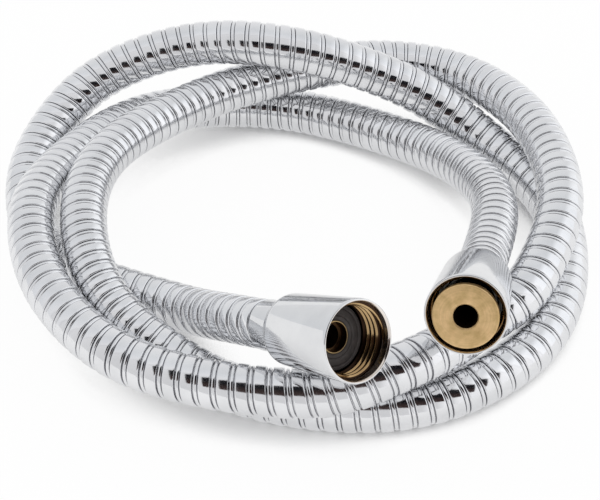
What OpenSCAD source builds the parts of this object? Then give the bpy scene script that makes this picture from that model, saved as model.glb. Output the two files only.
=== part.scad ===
// Coiled metal shower hose with two conical union nuts.
// Millimetres, Z up. The hose lies in three loops on the plane z = 0.

/* [Hose jacket] */
// Outer diameter over the ribs
hose_d = 14; // [12:0.5:14]
// Depth of the groove between two ribs
groove_depth = 0.7; // [0.3:0.1:0.8]
// Number of ribs along the hose
rib_count = 198; // [60:1:198]
// Wall between the groove floor and the bore
jacket_wall = 0.8; // [0.7:0.1:1]

/* [Inner tube] */
// Gap between the tube and the jacket
tube_gap = 0.3; // [0.2:0.05:0.4]
// Wall of the rubber tube
tube_wall = 1.2; // [0.8:0.1:1.6]
// Length of tube pushed over the barbed tail
tube_grip = 12; // [8:0.5:14]

/* [Insert] */
// Water bore of the insert
insert_bore_d = 6.6; // [5:0.1:6.8]
// Wall of the barbed tail
tail_wall = 0.6; // [0.4:0.05:0.7]
// Height of the barbs
barb_height = 0.3; // [0.1:0.05:0.4]
// How far the barbs stretch the tube, in radius
barb_lift = 0.2; // [0.1:0.05:0.3]
// Number of barbs on the tail
barb_count = 4; // [2:1:6]
// Start of the tail, measured from the hose end
tail_start = 2; // [1:0.5:3]
// Thickness of the flange
flange_t = 2; // [1.5:0.1:3]
// Height of the lip through the washer
lip_height = 2.7; // [1.5:0.1:3]
// Outer diameter of the lip
lip_d = 8.8; // [8:0.1:9.5]
// Wall of the lip
lip_wall = 0.4; // [0.3:0.05:0.8]
// Edge chamfer of the flange
flange_edge = 0.3; // [0.1:0.05:0.5]

/* [Collar and crimp sleeve] */
// Wall of the end collar outside the hose
collar_step = 0.2; // [0.1:0.05:0.4]
// Wall of the collar tube
collar_wall = 0.7; // [0.5:0.05:0.8]
// Length of the collar
collar_length = 23; // [20:0.5:24]
// Thickness of the collar floor that the jacket meets
collar_floor = 1.2; // [0.8:0.1:2]
// Wall of the crimp sleeve
crimp_wall = 0.4; // [0.3:0.05:0.5]
// Length of the crimp sleeve
crimp_length = 10; // [6:0.5:12]

/* [Union nut] */
// Length of the nut
nut_length = 31; // [29:0.5:35]
// Wall at the mouth, outside the smooth entry
mouth_wall = 0.85; // [0.7:0.05:2]
// How much smaller the radius is at the shoulder behind the grip than at the mouth
nut_taper = 1.4; // [1:0.1:2.4]
// Wall of the rear edge
nut_rear_wall = 0.8; // [0.5:0.05:1.2]
// Length of the rear cone
nut_rear_cone = 2.5; // [2:0.25:5]
// Radial clearance between nut and collar
nut_clear = 0.3; // [0.25:0.05:0.5]
// Bore of the thread at its crests
thread_minor_d = 18.6; // [18:0.05:18.7]
// Depth of the smooth entry's wall behind the thread's crests, in radius
entry_cut = 1.2; // [1.15:0.05:1.5]
// Depth of the smooth entry
entry_depth = 2.5; // [1:0.1:3.5]
// Depth at which the thread ends
thread_end = 9.6; // [8:0.1:11]
// Depth of the relief's wall behind the thread's crests, in radius
relief_cut = 0.3; // [0.1:0.05:0.4]
// Rounding of the outer edge at the mouth
mouth_edge = 0.7; // [0.4:0.05:0.75]

/* [Washer and slip ring] */
// Thickness of the sealing washer
washer_t = 2.7; // [2:0.1:3]
// Gap between the end of the thread and the washer
seat_gap = 0.2; // [0.1:0.05:0.5]
// Clearance around the flange, the washer and the slip ring
seat_clear = 0.3; // [0.25:0.05:0.4]
// Clearance of the washer round the lip
washer_clear = 0.1; // [0.05:0.05:0.3]
// Thickness of the slip ring
slip_t = 1.2; // [0.8:0.1:2]
// Width of the slip ring, from its bore to its rim
slip_width = 1.5; // [1.2:0.05:1.6]
// Gap between the slip ring and the shoulder inside the nut
shoulder_gap = 0.1; // [0.05:0.05:0.3]

/* [Motion] */
// Travel of each nut along its collar
nut_travel = 14; // [8:0.5:14]

/* [Hidden] */
$fn = 72;

// Ends of the hose: position, heading and pitch of each fitting
END_A = [-8.5, -57, 30.5];
HEAD_A = -46.5;
PITCH_A = 28;
END_B = [48.5, -48, 37];
HEAD_B = -101.5;
PITCH_B = 24;
// Straight run of the hose at each fitting
STRAIGHT = 15;
// Route of the hose from A to B; a height of 0 means that it lies on the ground
ROUTE = [
    [-36, -28, 10], [-67, -10, 0], [-82, 10, 0], [-84, 38, 12], [-67, 62, 23], [-37, 69, 33],
    [-4, 64, 36], [33, 62, 23], [58, 50, 11], [78, 22, 0], [79, -14, 0], [67, -42, 0],
    [42, -61, 0], [12, -66, 0], [-23, -57, 8], [-53, -36, 16], [-64, -8, 24], [-59, 24, 25],
    [-33, 54, 22], [1, 71, 22], [31, 78, 20], [57, 68, 20], [74, 41, 22], [78, 3, 24],
    [67, -28, 20], [52, -43, 18], [31, -64, 23], [1, -73, 20], [-45, -60, 18], [-71, -35, 21],
    [-80, -1, 23], [-71, 31, 18], [-51, 58, 13], [-22, 70, 8], [7, 66, 0], [38, 47, 10],
    [54, 23, 17], [58, -2, 24]];
// Moves the whole part so that its box is centred on the origin
SHIFT = [2.4, 2.5, 0];

// Hose sizes
hose_r = hose_d / 2;
groove_r = hose_r - groove_depth;
bore_r = groove_r - jacket_wall;
tube_r = bore_r - tube_gap;
tube_in = tube_r - tube_wall;
lie_z = hose_r - hose_d / 10;
OUT_RINGS = 2 * rib_count;
IN_RINGS = 132;
SIDES = 8;
flat = cos(180 / SIDES);

// Fitting sizes, radial
insert_r = insert_bore_d / 2;
barb_r = tube_in + barb_lift;
tail_r = barb_r - barb_height;
tail_bore_r = tail_r - tail_wall;
grip_in = (barb_r + 0.05) / flat;
grip_out = grip_in + tube_wall - 0.1;
crimp_in = grip_out + 0.05;
crimp_out = crimp_in + crimp_wall;
collar_r = hose_r + collar_step;
collar_in = collar_r - collar_wall;
nut_bore_r = collar_r + nut_clear;
nut_rear_r = nut_bore_r + nut_rear_wall;
thread_r = thread_minor_d / 2;
entry_r = thread_r + entry_cut;
mouth_r = entry_r + mouth_wall;
shoulder_r = mouth_r - nut_taper;
flange_r = thread_r - seat_clear;
slip_r = nut_bore_r + slip_width;
// The relief lies behind the thread's crests and clears the slip ring
relief_r = max(thread_r + relief_cut, slip_r + seat_clear);

// Fitting sizes, along the axis from the hose end to the mouth
slip_z = collar_length + 0.3;
flange_z = slip_z + slip_t;
face_z = flange_z + flange_t;
tail_end = tail_start + tube_grip;
// The shoulder inside the nut lies behind the slip ring
shoulder_depth = thread_end + seat_gap + washer_t + flange_t + slip_t + shoulder_gap;
nut_front = face_z + washer_t + seat_gap + thread_end;
nut_rear = nut_front - nut_length;

// Spline through the route
function dir(head, pitch) = [cos(head) * cos(pitch), sin(head) * cos(pitch), sin(pitch)];
N_A = dir(HEAD_A, PITCH_A);
N_B = dir(HEAD_B, PITCH_B);
function lay(p) = [p[0], p[1], max(p[2], lie_z)];
KNOTS = [for (p = concat([END_A - STRAIGHT * N_A], ROUTE, [END_B - STRAIGHT * N_B])) lay(p)];
KN = len(KNOTS);
LEAD_A = KNOTS[1] + 2 * norm(KNOTS[1] - KNOTS[0]) * N_A;
LEAD_B = KNOTS[KN - 2] + 2 * norm(KNOTS[KN - 1] - KNOTS[KN - 2]) * N_B;
X = concat([LEAD_A], KNOTS, [LEAD_B]);
function blend(a, b, c, d, t) = 0.5 * (2 * b + (c - a) * t + (2 * a - 5 * b + 4 * c - d) * t * t
    + (3 * b - a - 3 * c + d) * t * t * t);
function curve(u) = let(i = max(0, min(KN - 2, floor(u))), t = u - i)
    lay(blend(X[i], X[i + 1], X[i + 2], X[i + 3], t));

// Arc length along the spline
FINE = 12;
SAMPLES = [for (k = [0 : (KN - 1) * FINE]) curve(k / FINE)];
RUN = [for (k = 0, s = 0; k < len(SAMPLES); k = k + 1,
    s = s + (k < len(SAMPLES) ? norm(SAMPLES[k] - SAMPLES[k - 1]) : 0)) s];
TABLE = [for (k = [0 : len(SAMPLES) - 1]) [RUN[k], k / FINE]];
BENT = RUN[len(RUN) - 1];
LENGTH = BENT + 2 * STRAIGHT;
function point(s) = s <= STRAIGHT ? END_A - s * N_A
    : s >= LENGTH - STRAIGHT ? END_B - (LENGTH - s) * N_B
    : curve(lookup(s - STRAIGHT, TABLE));
function unit(v) = v / norm(v);
function heading(s) = s < STRAIGHT ? -N_A : s > LENGTH - STRAIGHT ? N_B
    : unit(point(s + 1.5) - point(s - 1.5));
function above(p) = [p[0], p[1], max(p[2], 0)];
function ring(s, r) = let(p = point(s), t = heading(s), a = unit(cross(t, [0, 0, 1])), b = cross(a, t))
    [for (k = [0 : SIDES - 1]) let(w = (k + 0.5) * 360 / SIDES) above(p + r * (cos(w) * a + sin(w) * b))];

// Least gap of the hose to itself, measured on points along its centre line
STEP = 3;
LINE = [for (s = [0 : STEP : LENGTH]) point(s)];
APART = ceil(48 / STEP);
GAPS = [for (i = [0 : len(LINE) - 1 - APART]) min([for (j = [i + APART : len(LINE) - 1])
    norm(LINE[i] - LINE[j])])];
echo(hose_length = LENGTH, least_gap_to_itself = min(GAPS) - hose_d);

// Faces of a tube: rings of points joined by triangles
function skin(n, first, outward) = [for (i = [0 : n - 2], k = [0 : SIDES - 1])
    let(a = first + i * SIDES + k, b = first + i * SIDES + (k + 1) % SIDES, c = a + SIDES, d = b + SIDES)
    each outward ? [[a, b, c], [b, d, c]] : [[a, c, b], [b, c, d]]];
function rim(o, q, near) = [for (k = [0 : SIDES - 1])
    let(a = o + k, b = o + (k + 1) % SIDES, c = q + k, d = q + (k + 1) % SIDES)
    each near ? [[a, c, b], [b, c, d]] : [[a, b, c], [b, d, c]]];

module swept(outer, inner) {
    n = len(outer);
    m = len(inner);
    pts = [for (r = concat(outer, inner)) each r];
    faces = concat(skin(n, 0, true), skin(m, n * SIDES, false), rim(0, n * SIDES, true),
        rim((n - 1) * SIDES, (n + m - 1) * SIDES, false));
    polyhedron(points = pts, faces = faces, convexity = 12);
}

module at_a(slide = 0) {
    translate(END_A) rotate([0, 90 - PITCH_A, HEAD_A]) translate([0, 0, slide]) children();
}

module at_b(slide = 0) {
    translate(END_B) rotate([0, 90 - PITCH_B, HEAD_B]) translate([0, 0, slide]) children();
}

// A ring turned about the fitting's axis
module band(r0, r1, z0, z1) {
    rotate_extrude() polygon([[r0, z0], [r1, z0], [r1, z1], [r0, z1]]);
}

module jacket_solid() {
    outer = [for (i = [0 : OUT_RINGS])
        ring(LENGTH * i / OUT_RINGS, i % 2 == 1 ? groove_r : hose_r)];
    inner = [for (i = [0 : IN_RINGS]) ring(LENGTH * i / IN_RINGS, bore_r)];
    swept(outer, inner);
}

module tube_solid() {
    grip = tail_end;
    mid = [for (i = [0 : IN_RINGS]) LENGTH * i / IN_RINGS];
    swept(
        concat(
            [for (s = [-grip, -tail_start]) ring(s, grip_out)],
            [for (s = mid) ring(s, tube_r)],
            [for (s = [tail_start, grip]) ring(LENGTH + s, grip_out)]),
        concat(
            [for (s = [-grip, -tail_start]) ring(s, grip_in)],
            [for (s = mid) ring(s, tube_in)],
            [for (s = [tail_start, grip]) ring(LENGTH + s, grip_in)]));
}

module insert_solid(lip) {
    barb_pitch = (tube_grip - 1) / barb_count;
    hub_r = collar_in - 0.05;
    barbs = [for (i = [0 : barb_count - 1]) each
        [[barb_r, tail_start + (i + 0.8) * barb_pitch], [tail_r, tail_start + (i + 0.85) * barb_pitch]]];
    body = concat(
        [[tail_bore_r, tail_start], [tail_r, tail_start]],
        barbs,
        [[tail_r, tail_end + 0.3], [hub_r, tail_end + 0.3], [hub_r, flange_z], [flange_r, flange_z]],
        [[flange_r, face_z - flange_edge], [flange_r - flange_edge, face_z]]);
    rim_a = [[lip_d / 2, face_z], [lip_d / 2, face_z + lip_height],
        [lip_d / 2 - lip_wall, face_z + lip_height], [lip_d / 2 - lip_wall, face_z], [insert_r, face_z]];
    rim_b = [[insert_r + flange_edge, face_z], [insert_r, face_z - flange_edge]];
    // The head's own bore meets the tail's bore past the tail
    step = [[insert_r, tail_end + 2.3], [tail_bore_r, tail_end + 1.3]];
    rotate_extrude() polygon(concat(body, lip ? rim_a : rim_b, step));
}

module collar_solid() {
    rotate_extrude() polygon([[bore_r, 0], [collar_r - 0.2, 0], [collar_r, 0.2],
        [collar_r, collar_length - 0.2], [collar_r - 0.2, collar_length], [collar_in, collar_length],
        [collar_in, collar_floor], [crimp_in, collar_floor], [bore_r, 0.6]]);
}

module crimp_solid() {
    band(crimp_in, crimp_out, collar_floor, collar_floor + crimp_length);
}

module washer_solid() {
    band(lip_d / 2 + washer_clear, flange_r, face_z, face_z + washer_t);
}

module slip_solid() {
    band(nut_bore_r, slip_r, slip_z, slip_z + slip_t);
}

module nut_solid() {
    mouth = nut_front;
    rotate_extrude() polygon([
        [nut_bore_r, nut_rear],
        [nut_rear_r - 0.2, nut_rear],
        [nut_rear_r, nut_rear + 0.2],
        [shoulder_r, nut_rear + nut_rear_cone],
        [mouth_r, mouth - 1.3 * mouth_edge],
        [mouth_r - 0.3 * mouth_edge, mouth - 0.35 * mouth_edge],
        [mouth_r - mouth_edge, mouth],
        [entry_r, mouth],
        [entry_r, mouth - entry_depth],
        [thread_r, mouth - entry_depth - 0.6],
        [thread_r, mouth - thread_end],
        [relief_r, mouth - thread_end - 0.3],
        [relief_r, mouth - shoulder_depth],
        [nut_bore_r, mouth - shoulder_depth]]);
}

module hose_jacket() { color("gainsboro") translate(SHIFT) jacket_solid(); }
module inner_tube() { color("dimgray") translate(SHIFT) tube_solid(); }
module nut_a() { color("silver") translate(SHIFT) at_a() nut_solid(); }
module insert_a() { color("goldenrod") translate(SHIFT) at_a() insert_solid(true); }
module washer_a() { color("black") translate(SHIFT) at_a() washer_solid(); }
module collar_a() { color("lightgray") translate(SHIFT) at_a() collar_solid(); }
module crimp_sleeve_a() { color("slategray") translate(SHIFT) at_a() crimp_solid(); }
module slip_ring_a() { color("white") translate(SHIFT) at_a() slip_solid(); }
module nut_b() { color("silver") translate(SHIFT) at_b(-nut_travel) nut_solid(); }
module insert_b() { color("goldenrod") translate(SHIFT) at_b() insert_solid(false); }
module collar_b() { color("lightgray") translate(SHIFT) at_b() collar_solid(); }
module crimp_sleeve_b() { color("slategray") translate(SHIFT) at_b() crimp_solid(); }
module slip_ring_b() { color("white") translate(SHIFT) at_b(-nut_travel) slip_solid(); }

hose_jacket();
inner_tube();
nut_a();
insert_a();
washer_a();
collar_a();
crimp_sleeve_a();
slip_ring_a();
nut_b();
insert_b();
collar_b();
crimp_sleeve_b();
slip_ring_b();
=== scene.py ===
import math
import bpy
import numpy as np
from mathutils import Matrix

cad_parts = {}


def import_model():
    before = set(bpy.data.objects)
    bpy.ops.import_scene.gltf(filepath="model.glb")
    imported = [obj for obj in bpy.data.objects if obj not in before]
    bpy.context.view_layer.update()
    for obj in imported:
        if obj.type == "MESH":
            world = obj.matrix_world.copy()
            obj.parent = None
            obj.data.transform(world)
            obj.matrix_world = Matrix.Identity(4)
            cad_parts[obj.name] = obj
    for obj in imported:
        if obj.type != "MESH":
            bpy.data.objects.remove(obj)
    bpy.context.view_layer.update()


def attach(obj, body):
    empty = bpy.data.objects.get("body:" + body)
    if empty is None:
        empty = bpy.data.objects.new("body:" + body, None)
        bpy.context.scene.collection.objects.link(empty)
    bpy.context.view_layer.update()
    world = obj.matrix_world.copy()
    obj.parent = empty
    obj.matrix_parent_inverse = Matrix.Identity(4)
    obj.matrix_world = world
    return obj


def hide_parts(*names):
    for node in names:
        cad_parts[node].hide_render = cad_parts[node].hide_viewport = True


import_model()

MM = 1000               # millimetres in a metre
UP = np.array([0.0, 0.0, 1.0])

# ---------------------------------------------------------------- camera
# SHIFT centres the coil on the origin, and the camera and the tent's dark opening move with it
SHIFT = np.array([0.0024, 0.0025, 0.0])
CAMERA_AT = (0.0, -0.45215, 0.41411)
CAMERA_TILT = 48.0      # degrees up from straight down
LENS = 119.95


def camera():
    data = bpy.data.cameras.new("camera")
    data.sensor_width = 36.0
    data.lens = LENS
    data.clip_start = 0.02
    data.clip_end = 20.0
    ob = bpy.data.objects.new("camera", data)
    ob.location = np.array(CAMERA_AT) + SHIFT
    ob.rotation_euler = (math.radians(CAMERA_TILT), 0.0, 0.0)
    bpy.context.collection.objects.link(ob)
    bpy.context.scene.camera = ob


camera()

# ---------------------------------------------------------------- the route of the hose, in metres
HOSE_R = 0.007          # outer radius of the hose
STRAIGHT = 0.015        # straight stretch at each end of the route
REACH = 0.02            # the centre line goes on this far into each fitting
GRID = 0.0005           # spacing of the points that are kept of the centre line
SPAN_STEPS = 60         # points of the curve between two knots
STRAIGHT_STEPS = 30     # points of a straight stretch
REACH_STEPS = 40
SMOOTH_WINDOW = 11      # points of the grid that are averaged
SMOOTH_MARGIN = 8       # points at each end that stay as they are


def heading(azimuth, pitch):
    a = math.radians(azimuth)
    p = math.radians(pitch)
    return np.array([math.cos(a) * math.cos(p), math.sin(a) * math.cos(p), math.sin(p)])


# each end of the hose, and the direction from there to the mouth of its nut
END_A = np.array([-0.0085, -0.057, 0.0305]) + SHIFT
END_B = np.array([0.0485, -0.048, 0.037]) + SHIFT
AXIS_A = heading(-46.5, 28)
AXIS_B = heading(-101.5, 24)
ROUTE = [
    (-.036, -.028, .010), (-.067, -.010, 0), (-.082, .010, 0), (-.084, .038, .012), (-.067, .062, .023),
    (-.037, .069, .033), (-.004, .064, .036), (.033, .062, .023), (.058, .050, .011), (.078, .022, 0),
    (.079, -.014, 0), (.067, -.042, 0), (.042, -.061, 0), (.012, -.066, 0), (-.023, -.057, .008),
    (-.053, -.036, .016), (-.064, -.008, .024), (-.059, .024, .025), (-.033, .054, .022),
    (.001, .071, .022), (.031, .078, .020), (.057, .068, .020), (.074, .041, .022), (.078, .003, .024),
    (.067, -.028, .020), (.052, -.043, .018), (.031, -.064, .023), (.001, -.073, .020),
    (-.045, -.060, .018), (-.071, -.035, .021), (-.080, -.001, .023), (-.071, .031, .018),
    (-.051, .058, .013), (-.022, .070, .008), (.007, .066, 0), (.038, .047, .010), (.054, .023, .017),
    (.058, -.002, .024)]


def column(start, stop, count, endpoint=False):
    """Evenly spaced numbers, one to a row. The last one comes before stop, unless endpoint is set."""
    return np.linspace(start, stop, count, endpoint=endpoint)[:, None]


def catmull_rom(knots):
    """Points of the smooth curve through all knots but the first and the last."""
    t = column(0, 1, SPAN_STEPS)
    return [.5 * (2 * b + (c - a) * t + (2 * a - 5 * b + 4 * c - d) * t ** 2
                  + (3 * b - a - 3 * c + d) * t ** 3)
            for a, b, c, d in zip(knots, knots[1:], knots[2:], knots[3:])]


def across(direction):
    """The level unit vector square to a direction."""
    side = np.cross(direction, UP)
    return side / np.linalg.norm(side, axis=-1, keepdims=True)


class Path:
    """The centre line of the hose: points, headings and side vectors at any arc length."""

    def __init__(self):
        route = [np.array(p) + SHIFT for p in ROUTE]
        knots = [END_A - STRAIGHT * AXIS_A] + route + [END_B - STRAIGHT * AXIS_B]
        # the hose never lies lower than the table
        knots = [np.array([p[0], p[1], max(p[2], HOSE_R)]) for p in knots]
        before = knots[1] + 2 * np.linalg.norm(knots[1] - knots[0]) * AXIS_A
        after = knots[-2] + 2 * np.linalg.norm(knots[-1] - knots[-2]) * AXIS_B
        ahead = column(0, STRAIGHT, STRAIGHT_STEPS)
        points = np.vstack(
            [END_A + AXIS_A * REACH * column(1, 0, REACH_STEPS), END_A - AXIS_A * ahead]
            + catmull_rom([before] + knots + [after])
            + [knots[-1] + AXIS_B * ahead,
               END_B + AXIS_B * REACH * column(0, 1, REACH_STEPS + 1, endpoint=True)])
        points[:, 2] = np.maximum(points[:, 2], HOSE_R)
        steps = np.linalg.norm(np.diff(points, axis=0), axis=1)
        s = np.r_[0, np.cumsum(steps)] - REACH
        self.s = np.arange(s[0], s[-1], GRID)
        self.points = np.stack([np.interp(self.s, s, points[:, k]) for k in range(3)], 1)
        kernel = np.hanning(SMOOTH_WINDOW)
        kernel /= kernel.sum()
        smooth = np.stack([np.convolve(self.points[:, k], kernel, "same") for k in range(3)], 1)
        inside = slice(SMOOTH_MARGIN, -SMOOTH_MARGIN)
        self.points[inside] = smooth[inside]
        self.length = s[-1] - REACH
        tangents = np.gradient(self.points, axis=0)
        self.tangents = tangents / np.linalg.norm(tangents, axis=1)[:, None]

    def look_up(self, s, rows):
        return np.stack([np.interp(s, self.s, rows[:, k]) for k in range(3)], -1)

    def at(self, s):
        return self.look_up(s, self.points)

    def axes(self, s):
        """Point, side and upper vector at each arc length."""
        tangent = self.look_up(s, self.tangents)
        tangent /= np.linalg.norm(tangent, axis=-1, keepdims=True)
        side = across(tangent)
        return self.at(s), side, np.cross(side, tangent)


path = Path()


# ---------------------------------------------------------------- mesh helpers
def make(name, verts, faces, mats, smooth=True, index=None):
    """A mesh object of four-sided faces. index holds the material index of each face."""
    mesh = bpy.data.meshes.new(name)
    mesh.vertices.add(len(verts))
    mesh.vertices.foreach_set("co", np.asarray(verts, dtype=np.float32).ravel())
    faces = np.asarray(faces, dtype=np.int32)
    corners = faces.shape[1]
    mesh.loops.add(faces.size)
    mesh.loops.foreach_set("vertex_index", faces.ravel())
    mesh.polygons.add(len(faces))
    mesh.polygons.foreach_set("loop_start", np.arange(0, faces.size, corners, dtype=np.int32))
    mesh.polygons.foreach_set("loop_total", np.full(len(faces), corners, dtype=np.int32))
    for mat in mats:
        mesh.materials.append(mat)
    if index is not None:
        mesh.polygons.foreach_set("material_index", np.asarray(index, dtype=np.int32))
    mesh.polygons.foreach_set("use_smooth", np.full(len(faces), smooth))
    mesh.update(calc_edges=True)
    mesh.validate()
    ob = bpy.data.objects.new(name, mesh)
    bpy.context.collection.objects.link(ob)
    return ob


ARC_STEPS = 4
ARC_SHARE = 0.45        # the most that an arc takes of each edge that it joins


def rounded(profile):
    """Replaces each corner (r, z, radius, tag) of a profile by an arc of about that radius.

    The tag is the material index of the faces that start at the corner."""
    out = []
    for i, (r, z, radius, tag) in enumerate(profile):
        if radius <= 0 or i in (0, len(profile) - 1):
            out.append((r, z, tag))
            continue
        corner = np.array([r, z])
        back = np.array(profile[i - 1][:2]) - corner
        onward = np.array(profile[i + 1][:2]) - corner
        back_length = np.linalg.norm(back)
        onward_length = np.linalg.norm(onward)
        cut = min(radius, ARC_SHARE * back_length, ARC_SHARE * onward_length)
        first = corner + back / back_length * cut
        last = corner + onward / onward_length * cut
        for t in np.linspace(0, 1, ARC_STEPS + 1):
            point = (1 - t) ** 2 * first + 2 * t * (1 - t) * corner + t ** 2 * last
            out.append((point[0], point[1], tag))
    return out


def place(local, end, axis):
    """Local fitting coordinates, z from the hose end to the mouth, to the model's frame."""
    side = across(axis)
    local = np.asarray(local)
    return end + local[:, :1] * side + local[:, 1:2] * np.cross(side, axis) + local[:, 2:] * axis


def lathe(name, profile, end, axis, mats, slide=0.0, segments=128):
    """Turns a closed profile of (r, z, tag), in millimetres, about the axis of a fitting."""
    angle = np.arange(segments) * 2 * math.pi / segments
    k = np.arange(segments)
    after_k = (k + 1) % segments
    verts, faces, index = [], [], []
    for i, (r, z, tag) in enumerate(profile):
        radius = r / MM
        ring = [radius * np.cos(angle), radius * np.sin(angle), np.full(segments, z / MM + slide)]
        verts.append(np.stack(ring, 1))
        here = i * segments
        there = (i + 1) % len(profile) * segments
        faces.append(np.stack([here + k, here + after_k, there + after_k, there + k], 1))
        index += [tag] * segments
    return make(name, place(np.vstack(verts), end, axis), np.vstack(faces), mats, index=index)


# ---------------------------------------------------------------- node helpers
def bare_mat(name):
    """A material with nothing but its output node."""
    mat = bpy.data.materials.new(name)
    mat.use_nodes = True
    tree = mat.node_tree
    tree.nodes.clear()
    return mat, tree, tree.nodes.new("ShaderNodeOutputMaterial")


def new_mat(name, **values):
    """A material with a principled shader."""
    mat, tree, out = bare_mat(name)
    shader = node(tree, "ShaderNodeBsdfPrincipled", **values)
    tree.links.new(shader.outputs[0], out.inputs[0])
    return mat, tree, shader


def node(tree, kind, **values):
    """A node with its settings and its sockets' values. An underscore stands for a space."""
    new = tree.nodes.new(kind)
    for key, value in values.items():
        if hasattr(new, key) and key not in new.inputs:
            setattr(new, key, value)
        else:
            new.inputs[key.replace("_", " ")].default_value = value
    return new


def noise(tree, scale, detail, rough):
    coordinates = tree.nodes.new("ShaderNodeTexCoord")
    new = node(tree, "ShaderNodeTexNoise", Scale=scale, Detail=detail, Roughness=rough)
    tree.links.new(coordinates.outputs["Object"], new.inputs["Vector"])
    return new.outputs["Fac"]


def ramp(tree, value, stops):
    """A colour for each value, from stops of (value, colour)."""
    new = tree.nodes.new("ShaderNodeValToRGB")
    elements = new.color_ramp.elements
    while len(elements) < len(stops):
        elements.new(0.5)
    for element, (position, colour) in zip(elements, stops):
        element.position = position
        element.color = (*colour, 1.0)
    tree.links.new(value, new.inputs[0])
    return new.outputs[0]


def spread(tree, value, low, high):
    """Noise, which is mostly between 0.3 and 0.7, spread over a wider range."""
    new = node(tree, "ShaderNodeMapRange", From_Min=0.3, From_Max=0.7, To_Min=low, To_Max=high)
    tree.links.new(value, new.inputs["Value"])
    return new.outputs[0]


def bump(tree, shader, height, strength, distance):
    new = node(tree, "ShaderNodeBump", Strength=strength, Distance=distance)
    tree.links.new(height, new.inputs["Height"])
    tree.links.new(new.outputs[0], shader.inputs["Normal"])


def colours(sockets):
    return [s for s in sockets if s.type == "RGBA"]


def multiplied(tree, first, second):
    mix = node(tree, "ShaderNodeMix", data_type="RGBA", blend_type="MULTIPLY", Factor=1.0)
    for source, socket in zip((first, second), colours(mix.inputs)):
        tree.links.new(source, socket)
    return colours(mix.outputs)[0]


RING_SCALE = 3200.0
RING_WANDER = 0.03      # share of the place across the face, so that no ring is the same all round


def turned(tree, end, axis):
    """Noise of the distance from a fitting's axis, so that it forms rings."""
    def vector(operation, *sources):
        new = node(tree, "ShaderNodeVectorMath", operation=operation)
        for source, socket in zip(sources, new.inputs):
            if isinstance(source, tuple):
                socket.default_value = source
            else:
                tree.links.new(source, socket)
        return new

    coordinates = tree.nodes.new("ShaderNodeTexCoord")
    axis = tuple(float(c) for c in axis)
    end = tuple(float(c) for c in end)
    offset = vector("SUBTRACT", coordinates.outputs["Object"], end).outputs[0]
    along = vector("DOT_PRODUCT", offset, axis).outputs["Value"]
    axial = vector("SCALE", axis)
    tree.links.new(along, axial.inputs["Scale"])
    flat = vector("SUBTRACT", offset, axial.outputs[0]).outputs[0]
    radius = vector("LENGTH", flat).outputs["Value"]
    ring = node(tree, "ShaderNodeCombineXYZ")
    tree.links.new(radius, ring.inputs[0])
    tree.links.new(along, ring.inputs[1])
    wander = vector("SCALE", flat)
    wander.inputs["Scale"].default_value = RING_WANDER
    where = vector("ADD", ring.outputs[0], wander.outputs[0]).outputs[0]
    marks = node(tree, "ShaderNodeTexNoise", Scale=RING_SCALE, Detail=3.0, Roughness=0.6)
    tree.links.new(where, marks.inputs["Vector"])
    return marks.outputs["Fac"]


# ---------------------------------------------------------------- materials
# scales are in cycles of noise to a metre, and depths in metres
TONE_PATCH = (90, 0.32, 0.68)
SMUDGE_SCALE = 260
SCRATCH_SCALE = 1200
SCRATCH_DEPTH = 0.00002
RING_DEPTH = 0.00003
RING_TONES = [(0.25, (0.86, 0.84, 0.82)), (0.75, (1, 1, 1))]
STAIN_SCALE = 300       # rubber and plastic: patches of tone
DULL_SCALE = 500        # patches of roughness
GRAIN_STRENGTH = 0.4


def metal(name, dark, light, rough, scratch, axis=None, patch=TONE_PATCH):
    """Polished or turned metal: tone patches, smudges in the gloss and fine scratches.

    rough is the range of the roughness, and scratch the strength of the scratches. patch is the
    scale of the patches and the noise at which they are darkest and lightest. With an axis, the
    scratches are the fine rings that a lathe leaves about it."""
    mat, tree, shader = new_mat(name, Metallic=1.0)
    scale, darkest, lightest = patch
    tone = ramp(tree, noise(tree, scale, 4, 0.6), [(darkest, dark), (lightest, light)])
    smudges = noise(tree, SMUDGE_SCALE, 5, 0.65)
    tree.links.new(spread(tree, smudges, *rough), shader.inputs["Roughness"])
    if axis is None:
        bump(tree, shader, noise(tree, SCRATCH_SCALE, 6, 0.7), scratch, SCRATCH_DEPTH)
    else:
        marks = turned(tree, *axis)
        tone = multiplied(tree, tone, ramp(tree, marks, RING_TONES))
        bump(tree, shader, marks, scratch, RING_DEPTH)
    tree.links.new(tone, shader.inputs["Base Color"])
    return mat


def soft_mat(name, dark, light, rough, grain, depth):
    """Rubber or plastic: tone patches, a range of roughness, and a grain of that scale and depth."""
    mat, tree, shader = new_mat(name)
    tone = ramp(tree, noise(tree, STAIN_SCALE, 4, 0.6), [(0.3, dark), (0.7, light)])
    tree.links.new(tone, shader.inputs["Base Color"])
    dullness = noise(tree, DULL_SCALE, 4, 0.6)
    tree.links.new(spread(tree, dullness, *rough), shader.inputs["Roughness"])
    bump(tree, shader, noise(tree, grain, 4, 0.7), GRAIN_STRENGTH, depth)
    return mat


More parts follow.
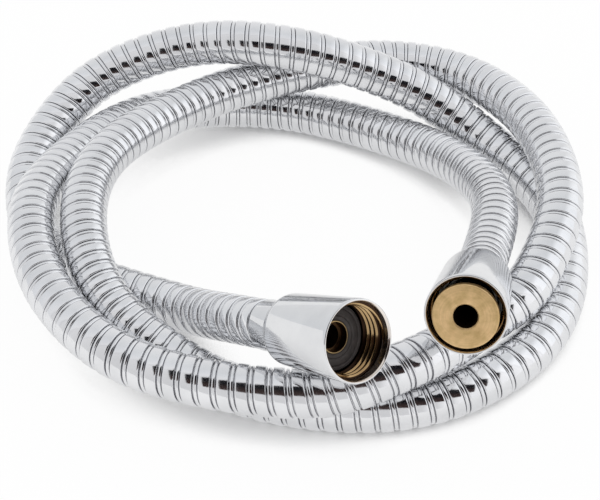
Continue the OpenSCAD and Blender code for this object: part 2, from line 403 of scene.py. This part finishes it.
chrome = metal("chrome", (0.74, 0.745, 0.76), (0.80, 0.805, 0.815), (0.03, 0.09), 0.05)
strip_mat = metal("chrome_strip", (0.78, 0.785, 0.80), (0.86, 0.865, 0.88), (0.07, 0.15), 0.08)
# the lower walls of the strip's grooves: chrome darkened as painted shade in the recesses
groove_shade_mat = metal("strip_groove_painted_shade", (0.44, 0.44, 0.46), (0.60, 0.60, 0.62), (0.20, 0.34), 0.1)
brass_a = metal("brass_turned_a", (0.56, 0.40, 0.19), (0.70, 0.52, 0.27), (0.30, 0.46), 0.3,
                axis=(END_A, AXIS_A))
brass_b = metal("brass_turned_b", (0.66, 0.465, 0.215), (0.90, 0.64, 0.34), (0.38, 0.55), 0.6,
                axis=(END_B, AXIS_B), patch=(300, 0.34, 0.64))
# the bore of each insert: brass darkened to near black, painted shade inside the hole
bore_shade_mat = metal("brass_bore_painted_shade", (0.09, 0.05, 0.025), (0.17, 0.10, 0.05), (0.30, 0.46), 0.2)
# the thread's brass, darkened as painted shade inside the nut
shaded_thread_mat = metal("brass_thread", (0.36, 0.23, 0.11), (0.56, 0.39, 0.20), (0.08, 0.18), 0.1)
# near-black brass: painted shade in the roots of the thread and in the nut's bore
root_shade_mat = metal("brass_thread_root_painted_shade", (0.022, 0.012, 0.008), (0.055, 0.030, 0.018), (0.25, 0.40), 0.2)
# chrome of the nut's mouth, tinted pink and gold as a painted reflection of the brass inside
entry_reflection_mat = metal("chrome_entry_painted_reflection", (0.74, 0.66, 0.59), (0.88, 0.82, 0.76), (0.12, 0.22), 0.1)
steel = metal("crimped_steel", (0.42, 0.42, 0.44), (0.56, 0.56, 0.58), (0.25, 0.4), 0.3)
washer_mat = soft_mat("washer_rubber", (0.045, 0.038, 0.036), (0.085, 0.072, 0.068), (0.45, 0.65),
                      1500, 0.00003)
tube_mat = soft_mat("tube_rubber", (0.018, 0.018, 0.02), (0.035, 0.035, 0.038), (0.5, 0.7), 900, 0.00003)
nylon = soft_mat("slip_nylon", (0.70, 0.69, 0.66), (0.80, 0.79, 0.76), (0.4, 0.55), 1200, 0.00002)


# ---------------------------------------------------------------- hose jacket: a strip wound to a helix
# the spacing of the turns, as (distance from end A, spacing) in millimetres
PITCH = [(0, 5.0), (60, 4.6), (140, 4.0), (190, 4.4), (310, 4.45), (400, 4.8), (500, 4.9), (540, 3.6),
         (600, 3.6), (660, 4.0), (740, 4.0), (800, 4.5), (860, 4.9), (890, 5.15), (985, 5.1), (1035, 3.9),
         (1130, 3.9), (1190, 3.9), (1260, 3.6), (1330, 3.5)]
BAND = 3.4              # width of the widest band, in millimetres
RECESS = 1.26           # least width between two bands, in millimetres
# half sections, as distance and depth in millimetres: the edge of the band, and the bead in the recess
EDGE = ((0.0, -1.05), (0.01, -0.70), (0.05, -0.34), (0.12, -0.13), (0.26, -0.04), (0.50, 0.0))
BEAD = ((-0.57, -1.05), (-0.55, -0.66), (-0.48, -0.40), (-0.30, -0.27), (0.0, -0.22), (0.30, -0.27),
        (0.48, -0.40), (0.55, -0.66), (0.57, -1.05))
SHADED_GROOVE_WALLS = [0, 1, 9, 10, 12, 19]   # faces of the section that are the lower walls of its grooves, which take the painted shade
AROUND = 40             # points in one turn of the strip
WINDING_STEP = 0.0002   # step in which the turns are added up
WINDING_OVER = (0.007, 0.012)   # how far the winding goes past end A and end B before it is cut off
END_GAP = 0.00004       # the cut strip stays this far inside each end


def pitch_at(s):
    return np.interp(s * MM, [a for a, _ in PITCH], [b for _, b in PITCH])


def strip():
    s = np.arange(-WINDING_OVER[0], path.length + WINDING_OVER[1], WINDING_STEP)
    turns = np.r_[0, np.cumsum(np.diff(s) / (pitch_at(s) / MM)[:-1])]
    rows = (int(turns[-1]) - 1) * AROUND
    turn = np.arange(rows + AROUND + 1) / AROUND
    start = np.interp(turn, turns, s)
    pitch = pitch_at(start)
    width = np.minimum(BAND, pitch - RECESS)
    middle = (width + pitch) / 2
    section = [(0 * width + x, depth) for x, depth in EDGE]
    section += [(width - x, depth) for x, depth in EDGE[::-1]]
    section += [(middle + x, depth) for x, depth in BEAD]
    count = len(section)
    x = np.stack([x for x, _ in section], 1) / MM
    radius = HOSE_R + np.array([depth for _, depth in section])[None, :] / MM
    along = np.clip(start[:, None] + x, END_GAP, path.length - END_GAP)
    angle = -2 * math.pi * turn[:, None] * np.ones((1, count))
    points, side, up = path.axes(along)
    verts = points + radius[..., None] * (np.cos(angle)[..., None] * side + np.sin(angle)[..., None] * up)
    # the last column of one turn joins the first column of the next turn
    i = np.arange(rows)[:, None]
    k = np.arange(count)[None, :]
    after_k = (k + 1) % count
    jump = np.where(k == count - 1, AROUND, 0)
    quads = np.stack([i * count + k, (i + 1) * count + k, (i + 1 + jump) * count + after_k,
                      (i + jump) * count + after_k], -1)
    there = np.broadcast_to(i + 1 + jump < len(turn), quads.shape[:2])
    # the lower walls of the grooves take the painted shade
    walls = np.zeros(count, dtype=np.int32)
    walls[SHADED_GROOVE_WALLS] = 1
    index = np.broadcast_to(walls, there.shape)[there]
    return make("hose_strip", verts.reshape(-1, 3), quads[there], [strip_mat, groove_shade_mat], index=index)


jacket = strip()
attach(jacket, "hose")
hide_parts("hose_jacket")

# ---------------------------------------------------------------- inner tube
TUBE_OUTER = 0.0052
TUBE_INNER = 0.0040
TUBE_ROWS = 266
TUBE_SIDES = 24
TUBE_OVER = 0.014       # the tube goes on this far past each end of the hose, over the insert's tail
SWELL_START = 0.002     # and is wider from here on
SWELL = 0.0003


def tube():
    s = np.r_[-TUBE_OVER, -SWELL_START, np.linspace(0, path.length, TUBE_ROWS),
              path.length + SWELL_START, path.length + TUBE_OVER]
    points, side, up = path.axes(s)
    angle = np.arange(TUBE_SIDES) * 2 * math.pi / TUBE_SIDES
    cos = np.cos(angle)[None, :, None]
    sin = np.sin(angle)[None, :, None]
    walls = []
    for radius in (TUBE_OUTER, TUBE_INNER):
        radii = np.full(len(s), radius)
        radii[[0, 1, -1, -2]] += SWELL
        walls.append(points[:, None] + radii[:, None, None] * (cos * side[:, None] + sin * up[:, None]))
    verts = np.concatenate([walls[0], walls[1][::-1]], 0)
    i = np.arange(len(verts))[:, None] * TUBE_SIDES
    j = (np.arange(len(verts))[:, None] + 1) % len(verts) * TUBE_SIDES
    k = np.arange(TUBE_SIDES)[None, :]
    after_k = (k + 1) % TUBE_SIDES
    faces = np.stack([i + k, j + k, j + after_k, i + after_k], -1)
    return make("inner_hose", verts.reshape(-1, 3), faces.reshape(-1, 4), [tube_mat])


inner = tube()
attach(inner, "hose")
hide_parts("inner_tube")

# ---------------------------------------------------------------- union nuts, with their threads
# profiles are lists of (r, z, corner radius, material index) in millimetres, z from the hose end
# in the nut, index 1 is near-black brass, painted shade in its bore
# index 2 is the chamfer of its mouth, chrome with the painted reflection
NUT = [
    (7.5, 8.0, 0.15, 0), (8.0, 8.0, 0.15, 0), (8.25, 8.25, 0.3, 0), (9.95, 10.5, 1.3, 0),
    (11.35, 38.2, 0.9, 0), (11.2, 39.0, 0.6, 0), (10.78, 39.0, 0.12, 2), (10.42, 38.5, 0.1, 2),
    (10.42, 36.7, 0.15, 2), (10.3, 36.2, 0.1, 1), (10.3, 29.4, 0.1, 1), (9.65, 29.0, 0.1, 1),
    (9.65, 23.2, 0.1, 1), (7.5, 23.2, 0.1, 1)]
NUT_SIDES = 160
# the ridge of the thread: radius and place along the axis, from one foot over the crest to the other
RIDGE = [(10.45, -0.85), (9.42, -0.22), (9.30, -0.08), (9.30, 0.08), (9.42, 0.22), (9.86, 0.48),
         (10.45, 0.85)]
RIDGE_MATS = [1, 0, 0, 0, 0, 1]   # the feet take the painted shade of the root
ROOT_R = 10.45
LEAD = 1.814            # of the G1/2 thread, in millimetres
TURNS = 3.6
PER_TURN = 96           # sections of the ridge in one turn
THREAD_START = 30.0     # z of the ridge's inner end, in millimetres
FADE_IN = 0.35          # turns in which the ridge rises at its inner end
FADE_OUT = 0.2          # and sinks again at the mouth
LEAST_RISE = 0.02       # it keeps this share of its height at the very ends


def thread(name, end, axis, slide):
    """A ridge that winds along the bore and runs out at both ends."""
    count = int(PER_TURN * TURNS)
    verts = []
    for i in range(count + 1):
        angle = 2 * math.pi * i / PER_TURN
        rise = min(1.0, i / (PER_TURN * FADE_IN), (count - i) / (PER_TURN * FADE_OUT))
        for r, x in RIDGE:
            radius = (ROOT_R - (ROOT_R - r) * max(rise, LEAST_RISE)) / MM
            z = (THREAD_START + LEAD * i / PER_TURN + x) / MM + slide
            verts.append((radius * math.cos(angle), radius * math.sin(angle), z))
    m = len(RIDGE)
    faces = [(i * m + k, i * m + k + 1, (i + 1) * m + k + 1, (i + 1) * m + k)
             for i in range(count) for k in range(m - 1)]
    return make(name, place(verts, end, axis), faces, [shaded_thread_mat, root_shade_mat], index=RIDGE_MATS * count)


def nut(name, end, axis, slide, body, cad):
    shell = lathe(name, rounded(NUT), end, axis, [chrome, root_shade_mat, entry_reflection_mat], slide, NUT_SIDES)
    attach(shell, body)
    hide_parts(cad)
    ridge = thread(name + "_thread", end, axis, slide)
    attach(ridge, body)


SLIDE_B = -0.014        # at rest nut B has slid back over its collar
nut("union_nut_a", END_A, AXIS_A, 0.0, "nut_a", "nut_a")
nut("union_nut_b", END_B, AXIS_B, SLIDE_B, "nut_b", "nut_b")

# ---------------------------------------------------------------- inserts, washer, collars, sleeves, rings
BARBS = 4
BARB_SPACING = 2.75     # in millimetres, as is the next
TAIL_END = 2.0          # z of the free end of the insert's tail
COLLAR = [
    (5.5, 0.0, 0, 0), (7.2, 0.0, 0.25, 0), (7.2, 23.0, 0.2, 0), (6.5, 23.0, 0.1, 0), (6.5, 1.2, 0.1, 0),
    (5.75, 1.2, 0.1, 0)]
CRIMP = [
    (5.75, 1.2, 0, 0), (6.15, 1.2, 0.08, 0), (6.15, 4.0, 0.3, 0), (6.0, 4.4, 0.3, 0), (6.15, 4.8, 0.3, 0),
    (6.15, 7.0, 0.3, 0), (6.0, 7.4, 0.3, 0), (6.15, 7.8, 0.3, 0), (6.15, 11.2, 0.08, 0), (5.75, 11.2, 0, 0)]
SLIP_RING = [(7.5, 23.35, 0, 0), (9.0, 23.35, 0.12, 0), (9.0, 24.46, 0.12, 0), (7.5, 24.46, 0.1, 0)]
WASHER = [
    (4.5, 26.5, 0, 0), (9.0, 26.5, 0.2, 0), (9.0, 29.2, 0.25, 0), (8.3, 29.2, 0.1, 0), (8.1, 29.0, 0.1, 0),
    (7.8, 29.0, 0.1, 0), (7.6, 29.2, 0.1, 0), (6.3, 29.2, 0.1, 0), (6.1, 29.0, 0.1, 0), (5.8, 29.0, 0.1, 0),
    (5.6, 29.2, 0.1, 0), (4.5, 29.2, 0.2, 0)]
# the insert: its barbed tail and its flange, then either the lip of end A or the flat face of end B; faces
# of index 1 are in and around the bore and take its painted shade
TAIL = [(3.3, TAIL_END, 0, 1), (3.9, TAIL_END, 0.1, 0)]
for barb in range(BARBS):
    TAIL += [(4.2, TAIL_END + (barb + 0.8) * BARB_SPACING, 0.05, 0),
             (3.9, TAIL_END + (barb + 0.85) * BARB_SPACING, 0.05, 0)]
FLANGE = [(3.9, 14.3, 0.05, 0), (6.45, 14.3, 0.1, 0), (6.45, 24.5, 0.1, 0), (9.0, 24.5, 0.15, 0)]
LIP = [
    (9.0, 26.5, 0.35, 0), (4.4, 26.5, 0.05, 0), (4.4, 29.2, 0.12, 0), (4.0, 29.2, 0.12, 1),
    (4.0, 26.5, 0.1, 1), (3.3, 26.5, 0.1, 1), (3.3, 20.0, 0, 1)]
FACE = [
    (9.0, 26.2, 0.05, 0), (8.7, 26.5, 0.05, 0), (3.65, 26.5, 0.05, 0), (3.3, 26.15, 0.05, 1),
    (3.3, 20.0, 0, 1)]


def fitting(name, profile, end, axis, mats, body, cad, slide=0.0):
    ob = lathe(name, rounded(profile), end, axis, mats, slide)
    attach(ob, body)
    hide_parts(cad)


for tag, end, axis, head, brass, slide in (("a", END_A, AXIS_A, LIP, brass_a, 0.0),
                                           ("b", END_B, AXIS_B, FACE, brass_b, SLIDE_B)):
    fitting("hose_insert_" + tag, TAIL + FLANGE + head, end, axis, [brass, bore_shade_mat],
            "hose", "insert_" + tag)
    fitting("end_collar_" + tag, COLLAR, end, axis, [chrome], "hose", "collar_" + tag)
    fitting("crimp_ring_" + tag, CRIMP, end, axis, [steel], "hose", "crimp_sleeve_" + tag)
    fitting("nylon_ring_" + tag, SLIP_RING, end, axis, [nylon], "ring_" + tag, "slip_ring_" + tag,
            slide)
fitting("sealing_washer", WASHER, END_A, AXIS_A, [washer_mat], "hose", "washer_a")

# ---------------------------------------------------------------- floor, world and the dark opening
FLOOR_HALF = 6.0
FLOOR_COLOUR = (0.93, 0.93, 0.93, 1)
FLOOR_GLOSSY = 0.42     # share of the floor's own light that the metal sees
SHADOW_REACH = 0.02     # the floor's own light fades out this close to the object
OPENING_AT = (0.070, -0.179, 0.192)
OPENING_TILT = 44       # degrees
OPENING_WIDTH = 0.44
OPENING_HEIGHT = 0.165


def floor():
    s = FLOOR_HALF
    ob = make("floor", [(-s, -s, 0), (s, -s, 0), (s, s, 0), (-s, s, 0)], [(0, 1, 2, 3)], [], smooth=False)
    mat, tree, out = bare_mat("white_table")
    paint = node(tree, "ShaderNodeBsdfPrincipled", Base_Color=FLOOR_COLOUR, Roughness=0.6,
                 Specular_IOR_Level=0.1)
    rays = tree.nodes.new("ShaderNodeLightPath")
    own_light = node(tree, "ShaderNodeEmission", Color=(1, 1, 1, 1), Strength=1.0)
    # the camera sees the floor's own light where nothing is near, and its shadow elsewhere
    near = node(tree, "ShaderNodeAmbientOcclusion", samples=8, Distance=SHADOW_REACH)
    clear = ramp(tree, near.outputs["AO"], [(0.25, (0, 0, 0)), (0.50, (0.95, 0.95, 0.95))])
    seen = node(tree, "ShaderNodeMath", operation="MULTIPLY")
    tree.links.new(rays.outputs["Is Camera Ray"], seen.inputs[0])
    tree.links.new(clear, seen.inputs[1])
    share = node(tree, "ShaderNodeMath", operation="MULTIPLY_ADD")
    tree.links.new(rays.outputs["Is Glossy Ray"], share.inputs[0])
    share.inputs[1].default_value = FLOOR_GLOSSY
    tree.links.new(seen.outputs[0], share.inputs[2])
    mix = tree.nodes.new("ShaderNodeMixShader")
    for source, socket in zip((share, paint, own_light), mix.inputs):
        tree.links.new(source.outputs[0], socket)
    tree.links.new(mix.outputs[0], out.inputs[0])
    ob.data.materials.append(mat)


def world():
    """White light for all but the glossy rays, which see a tent of several greys."""
    new = bpy.data.worlds.new("tent")
    bpy.context.scene.world = new
    new.use_nodes = True
    tree = new.node_tree
    tree.nodes.clear()
    out = tree.nodes.new("ShaderNodeOutputWorld")
    background = node(tree, "ShaderNodeBackground", Strength=1.0)
    direction = tree.nodes.new("ShaderNodeTexCoord")

    def part_along(axis):
        dot = node(tree, "ShaderNodeVectorMath", operation="DOT_PRODUCT")
        dot.inputs[1].default_value = axis
        tree.links.new(direction.outputs["Generated"], dot.inputs[0])
        return dot.outputs["Value"]

    # 0 is straight in front of the coil, 0.5 above it or beside it, and 1 straight behind it
    from_front = node(tree, "ShaderNodeMath", operation="MULTIPLY_ADD")
    tree.links.new(part_along((0, 1, 0)), from_front.inputs[0])
    from_front.inputs[1].default_value = 0.5
    from_front.inputs[2].default_value = 0.5
    tent = ramp(tree, from_front.outputs[0], [
        (0.0, (0.72, 0.72, 0.73)), (0.30, (0.76, 0.76, 0.77)), (0.405, (0.80, 0.80, 0.81)),
        (0.425, (0.70, 0.70, 0.72)), (0.45, (0.85, 0.855, 0.87)), (0.58, (0.79, 0.805, 0.83)),
        (0.70, (0.76, 0.775, 0.795)), (0.87, (0.81, 0.82, 0.83)), (1.0, (0.86, 0.86, 0.87))])
    # the right side of the tent is brighter
    right = ramp(tree, part_along((1, 0, 0)), [(0.45, (1, 1, 1)), (0.70, (1.34, 1.34, 1.34))])
    mix = node(tree, "ShaderNodeMix", data_type="RGBA")
    rays = tree.nodes.new("ShaderNodeLightPath")
    tree.links.new(rays.outputs["Is Glossy Ray"], mix.inputs["Factor"])
    plain, glossy = colours(mix.inputs)
    plain.default_value = (1, 1, 1, 1)
    tree.links.new(multiplied(tree, tent, right), glossy)
    tree.links.new(colours(mix.outputs)[0], background.inputs["Color"])
    tree.links.new(background.outputs[0], out.inputs[0])


def opening():
    """The dark opening of the tent in front of the coil, seen only in the metal."""
    tilt = math.radians(OPENING_TILT)
    up = np.array([0.0, math.sin(tilt), math.cos(tilt)]) * OPENING_HEIGHT / 2
    side = np.array([1.0, 0.0, 0.0]) * OPENING_WIDTH / 2
    centre = np.array(OPENING_AT) + SHIFT
    corners = [centre - side - up, centre + side - up, centre + side + up, centre - side + up]
    ob = make("tent_opening", corners, [(0, 1, 2, 3)], [], smooth=False)
    mat, tree, out = bare_mat("tent_opening")
    light = node(tree, "ShaderNodeEmission", Strength=1.0)
    coordinates = tree.nodes.new("ShaderNodeTexCoord")
    split = tree.nodes.new("ShaderNodeSeparateXYZ")
    tree.links.new(coordinates.outputs["Generated"], split.inputs[0])
    # from its lower edge to its upper edge
    tone = ramp(tree, split.outputs["Z"], [
        (0.0, (0.052, 0.032, 0.030)), (0.35, (0.030, 0.020, 0.019)), (0.6, (0.008, 0.008, 0.010)),
        (1.0, (0.006, 0.006, 0.009))])
    tree.links.new(tone, light.inputs["Color"])
    tree.links.new(light.outputs[0], out.inputs[0])
    ob.data.materials.append(mat)
    ob.visible_camera = False
    ob.visible_diffuse = False
    ob.visible_shadow = False
    ob.visible_transmission = False


floor()
world()
opening()
bpy.context.scene.view_settings.view_transform = "Standard"
